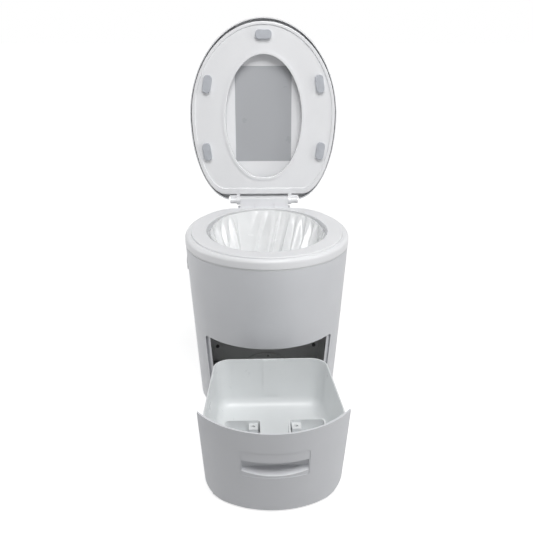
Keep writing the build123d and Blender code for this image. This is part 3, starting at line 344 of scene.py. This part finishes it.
def material_library():
    """One material for each slot of the record: colour, roughness and what else its kind takes."""
    return {
        "body_plastic": moulded_plastic("body_plastic", (0.75, 0.76, 0.785), 0.42, 0.00005),
        "ring_plastic": moulded_plastic("ring_plastic", (0.89, 0.895, 0.91), 0.36, 0.00004),
        "trim_plastic": moulded_plastic("trim_plastic", (0.8, 0.81, 0.82), 0.34, 0.00004),
        "seat_plastic": moulded_plastic("seat_plastic", (0.89, 0.895, 0.91), 0.16, 0.00001, 0.6),
        "tray_plastic": moulded_plastic("tray_plastic", (0.78, 0.8, 0.805), 0.32, 0.00004),
        # The chamber's grey, darker than the body plastic, is painted shade: it paints the shade of
        # the deep cavity that it lines into its colour.
        "chamber_plastic": moulded_plastic("chamber_plastic", (0.66, 0.67, 0.665), 0.55, 0.00008),
        "inner_plastic": moulded_plastic("inner_plastic", (0.2, 0.205, 0.21), 0.5, 0.00008),
        "gear_plastic": moulded_plastic("gear_plastic", (0.83, 0.8, 0.72), 0.38, 0.00003),
        "button_plastic": moulded_plastic("button_plastic", (0.66, 0.67, 0.68), 0.33, 0.00003),
        "label_film": moulded_plastic("label_film", (0.45, 0.46, 0.48), 0.32, 0.00002, 0, 0.996),
        "board": moulded_plastic("board", (0.05, 0.22, 0.1), 0.32, 0.00004, 0.3, 0.8),
        "battery": moulded_plastic("battery", (0.09, 0.09, 0.1), 0.5, 0.00006),
        "bumper_rubber": soft_rubber("bumper_rubber", (0.54, 0.56, 0.6), 0.5),
        "foot_rubber": soft_rubber("foot_rubber", (0.07, 0.07, 0.075), 0.7),
        "roller_rubber": soft_rubber("roller_rubber", (0.1, 0.1, 0.1), 0.65),
        "silicone": soft_rubber("silicone", (0.58, 0.15, 0.1), 0.5),
        "steel": brushed_metal("steel", (0.62, 0.63, 0.64), 0.3, "x"),
        "jaw_metal": brushed_metal("jaw_metal", (0.75, 0.76, 0.77), 0.38, "x"),
        "bag_film": milky_film("bag_film", (0.86, 0.87, 0.875), 0.18),
    }


def finish_nodes(library):
    """Give each frame node the material of its slot in the record."""
    for row in frame["record"]["subparts"]:
        piece = nodes[row["node"]]
        piece.data.materials.clear()
        piece.data.materials.append(library[row["material_slot"]])


# Film bag

def turn_angle(column):
    """The angle of a column of the film, in radians from the right."""
    return 2 * math.pi * column / film_columns


def oval(angle, half, front, back, height):
    """A point on an oval round the pedestal's middle, with its own depth to front and back."""
    depth = back if math.sin(angle) > 0 else front
    return Vector((half * math.cos(angle), depth * math.sin(angle), height))


def round_noise(angle, waves, place):
    """Noise that closes on itself once round the opening."""
    return noise.noise(Vector((waves * math.cos(angle), waves * math.sin(angle), place)))


def rim_point(angle):
    """The film's bulge inside the ring's lip, uneven in height and in distance from the lip."""
    side = abs(math.cos(angle)) ** rim_side_power
    gap = rim_end_gap + (rim_side_gap - rim_end_gap) * side
    gap += rim_wave * max(round_noise(angle, rim_gap_waves, rim_gap_place), 0)
    height = rim_z - rim_side_drop * side
    height += rim_wave * round_noise(angle, rim_height_waves, rim_height_place)
    return oval(angle, mouth_half - gap, mouth_front - gap, mouth_back - gap, height)


def grip_point(angle):
    """Where the film is gripped, just past the ring's mouth and under its lip."""
    return oval(angle, mouth_half + film_grip_reach, mouth_front + film_grip_reach,
                mouth_back + film_grip_reach, film_grip_z)


def gather_point(angle):
    """The foot of the bag, where the tube is gathered flat."""
    return oval(angle, gather_half, gather_depth, gather_depth, gather_z)


def fold_depth(angle, share):
    """How far the film's folds stand in at a place, none at the rim and most low down."""
    deepest = 0
    for place, width, depth, lean in film_folds:
        ridge = place + lean * share
        aside = abs((math.degrees(angle) - ridge + half_turn) % full_turn - half_turn)
        near = max(0, 1 - aside / (width * (fold_top_share + fold_growth_share * share)))
        deepest = max(deepest, depth * near)
    risen = math.sin(math.pi / 2 * min(1, share / fold_full_share)) ** fold_rise_power
    closed = max(0, share - fold_full_share) / (1 - fold_full_share)
    return deepest * risen * (1 - fold_close_share * closed)


def film_start(angle, share):
    """The film before it settles: folds that start at the rim and grow towards the gather."""
    place = rim_point(angle).lerp(gather_point(angle), share)
    sag = film_sag * math.sin(math.pi * share)
    lean = wave_lean * share
    seed = Vector((wave_scale * math.cos(angle) + lean, wave_scale * math.sin(angle), lean))
    wave = wave_depth * noise.noise(seed) * math.sin(math.pi * share)
    inward = Vector((-place.x, -place.y, 0)).normalized()
    return place + inward * (fold_depth(angle, share) + wave - sag)


def tube_point(angle, share):
    """The film's place on its plain round tube, which has the length that it is cut to."""
    radius = film_tube_length / (2 * math.pi)
    return Vector((radius * math.cos(angle), radius * math.sin(angle), -film_drop * share))


def join_lines(build, upper, lower):
    """Faces between two closed lines of the film."""
    for column in range(film_columns):
        after = (column + 1) % film_columns
        build.faces.new((upper[column], lower[column], lower[after], upper[after]))


def make_bag(library):
    """The film bag: gripped under the ring's lip, bulging up inside it and hanging to its gather."""
    middle = Vector((0, pedestal_middle(), 0))
    angles = [turn_angle(column) for column in range(film_columns)]
    build = bmesh.new()
    lines = []
    rests = []
    for row in range(film_rows + 1):
        share = row / film_rows
        lines.append([build.verts.new(middle + film_start(angle, share)) for angle in angles])
        rests += [tube_point(angle, share) for angle in angles]
    for upper, lower in zip(lines, lines[1:]):
        join_lines(build, upper, lower)
    mesh = bpy.data.meshes.new("liner_film")
    build.to_mesh(mesh)
    build.free()
    bag = bpy.data.objects.new("liner_film", mesh)
    bpy.context.scene.collection.objects.link(bag)
    settle_film(bag, rests)
    add_grip(bag, middle, angles)
    for polygon in bag.data.polygons:
        polygon.use_smooth = True
    bag.data.materials.append(library["bag_film"])
    thick = bag.modifiers.new("thickness", "SOLIDIFY")
    thick.thickness = film_thickness
    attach(bag, "root")
    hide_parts("liner_bag")


def settle_film(bag, rests):
    """Let the film hang as cloth between its held rim and its gather, then keep the result."""
    bag.shape_key_add(name="start")
    flat = bag.shape_key_add(name="tube")
    for point, rest in zip(flat.data, rests):
        point.co = rest
    held = bag.vertex_groups.new(name="held")
    ends = list(range(film_columns))
    ends += [film_rows * film_columns + column for column in range(film_columns)]
    held.add(ends, 1, "REPLACE")
    cloth = bag.modifiers.new("cloth", "CLOTH")
    cloth.settings.rest_shape_key = flat
    cloth.settings.vertex_group_mass = "held"
    cloth.settings.mass = 0.05
    cloth.settings.quality = 6
    cloth.settings.tension_stiffness = 20
    cloth.settings.compression_stiffness = 14
    cloth.settings.shear_stiffness = 9
    cloth.settings.bending_stiffness = 2
    cloth.settings.air_damping = 2
    cloth.collision_settings.use_self_collision = False
    scene = bpy.context.scene
    scene.frame_start = 1
    scene.frame_end = film_frames
    cloth.point_cache.frame_start = 1
    cloth.point_cache.frame_end = film_frames
    for moment in range(1, film_frames + 1):
        scene.frame_set(moment)
    hung = bag.evaluated_get(bpy.context.evaluated_depsgraph_get())
    settled = bpy.data.meshes.new_from_object(hung)
    bag.modifiers.clear()
    bag.shape_key_clear()
    bag.data = settled
    scene.frame_set(1)


def add_grip(bag, middle, angles):
    """Carry the film from its bulge down and out, to where it is gripped under the lip."""
    build = bmesh.new()
    build.from_mesh(bag.data)
    build.verts.ensure_lookup_table()
    upper = [build.verts[column] for column in range(film_columns)]
    for share in grip_shares:
        line = []
        for angle in angles:
            start = rim_point(angle)
            end = grip_point(angle)
            place = start.lerp(end, share ** grip_curve_power)
            place.z = start.z + (end.z - start.z) * math.sin(share * math.pi / 2)
            line.append(build.verts.new(middle + place))
        join_lines(build, line, upper)
        upper = line
    build.to_mesh(bag.data)
    build.free()


# Studio

def background_rays(tree):
    """1 for what is seen straight, in a reflection or through glass, and 0 for other light."""
    path = tree.nodes.new("ShaderNodeLightPath")
    seen = joined(tree, "MAXIMUM", path.outputs["Is Camera Ray"], path.outputs["Is Glossy Ray"])
    return joined(tree, "MAXIMUM", seen, path.outputs["Is Transmission Ray"])


def far_glow(tree):
    """The floor's glow: plain near the object, so that a shadow shows, and white further off."""
    coordinates = tree.nodes.new("ShaderNodeTexCoord")
    length = tree.nodes.new("ShaderNodeVectorMath")
    length.operation = "LENGTH"
    tree.links.new(coordinates.outputs["Object"], length.inputs[0])
    distance = length.outputs["Value"]
    return map_range(tree, distance, glow_near, glow_far, glow_near_distance, glow_far_distance)


def make_floor():
    """A pale floor and backdrop that the camera sees as white, apart from the object's shadow."""
    mesh = bpy.data.meshes.new("studio_floor")
    build = bmesh.new()
    bmesh.ops.create_grid(build, x_segments=1, y_segments=1, size=floor_half)
    build.to_mesh(mesh)
    build.free()
    floor = bpy.data.objects.new("studio_floor", mesh)
    bpy.context.scene.collection.objects.link(floor)
    material, tree, shader = node_tree("studio_floor")
    shader.inputs["Base Color"].default_value = floor_grey
    shader.inputs["Roughness"].default_value = floor_roughness
    shader.inputs["Emission Color"].default_value = white
    glow = joined(tree, "MULTIPLY", background_rays(tree), far_glow(tree))
    tree.links.new(glow, shader.inputs["Emission Strength"])
    mesh.materials.append(material)


def make_world():
    """A dim sky that lights the object, in front of the white that is seen."""
    world = bpy.data.worlds.new("studio")
    bpy.context.scene.world = world
    world.use_nodes = True
    tree = world.node_tree
    sky = tree.nodes["Background"]
    sky.inputs["Color"].default_value = sky_colour
    sky.inputs["Strength"].default_value = sky_strength
    seen = tree.nodes.new("ShaderNodeBackground")
    seen.inputs["Color"].default_value = white
    seen.inputs["Strength"].default_value = white_strength
    mix = tree.nodes.new("ShaderNodeMixShader")
    tree.links.new(background_rays(tree), mix.inputs["Fac"])
    tree.links.new(sky.outputs["Background"], mix.inputs[1])
    tree.links.new(seen.outputs["Background"], mix.inputs[2])
    tree.links.new(mix.outputs["Shader"], tree.nodes["World Output"].inputs["Surface"])


def soft_light(name, place, target, width, height, power):
    """A rectangular soft light that points at a target."""
    data = bpy.data.lights.new(name, "AREA")
    data.shape = "RECTANGLE"
    data.size = width
    data.size_y = height
    data.energy = power
    lamp = bpy.data.objects.new(name, data)
    lamp.location = place
    aim = Vector(target) - Vector(place)
    lamp.rotation_mode = "QUATERNION"
    lamp.rotation_quaternion = aim.to_track_quat("-Z", "Y")
    bpy.context.scene.collection.objects.link(lamp)


make_camera()
library = material_library()
finish_nodes(library)
make_bag(library)
make_floor()
make_world()
soft_light("key_light", *key_lamp)
soft_light("left_light", *left_lamp)
soft_light("right_light", *right_lamp)
bpy.context.scene.view_settings.view_transform = "Standard"
